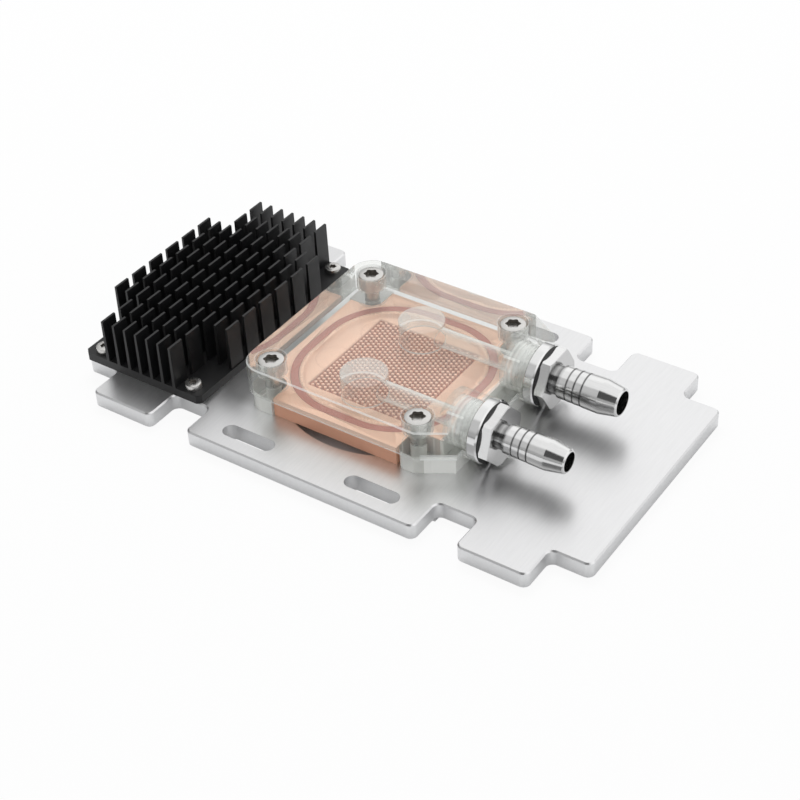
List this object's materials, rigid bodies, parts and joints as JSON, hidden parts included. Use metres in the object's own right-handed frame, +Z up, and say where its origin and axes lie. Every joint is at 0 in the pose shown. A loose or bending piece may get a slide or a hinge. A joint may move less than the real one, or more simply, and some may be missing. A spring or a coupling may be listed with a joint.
{
  "type": "gpu water block",
  "caption": "Liquid cooling block for a graphics card: copper pin plate under a clear cover with two hose barbs, on an aluminium mounting plate with a pin heatsink.",
  "frame": {"origin": "centre of the mounting plate's underside, which is level with the copper contact face", "axes": "+X along the plate from the heatsink to the hose barbs, +Y across the plate, +Z up from the board side to the cover"},
  "size_m": [0.157, 0.09, 0.0221],
  "materials": {
    "satin_plate": "fine satin, clear anodised",
    "black_anodised": "black anodised",
    "copper": "bare machined copper",
    "brown_rubber": "matt",
    "clear_acrylic": "polished and clear",
    "screw_steel": "plain stainless",
    "bright_plating": "bright plated brass",
    "black_rubber": "matt"
  },
  "bodies": {
    "root": {"mounting_plate": "satin_plate", "heatsink": "black_anodised", "heatsink_screws": "screw_steel", "cold_plate": "copper", "cover_seal": "brown_rubber", "cover": "clear_acrylic", "cover_screws": "screw_steel", "front_fitting": "bright_plating", "front_collar": "bright_plating", "front_hex_seal": "black_rubber", "front_port_seal": "black_rubber", "rear_fitting": "bright_plating", "rear_collar": "bright_plating", "rear_hex_seal": "black_rubber", "rear_port_seal": "black_rubber"}
  },
  "joints": []
}
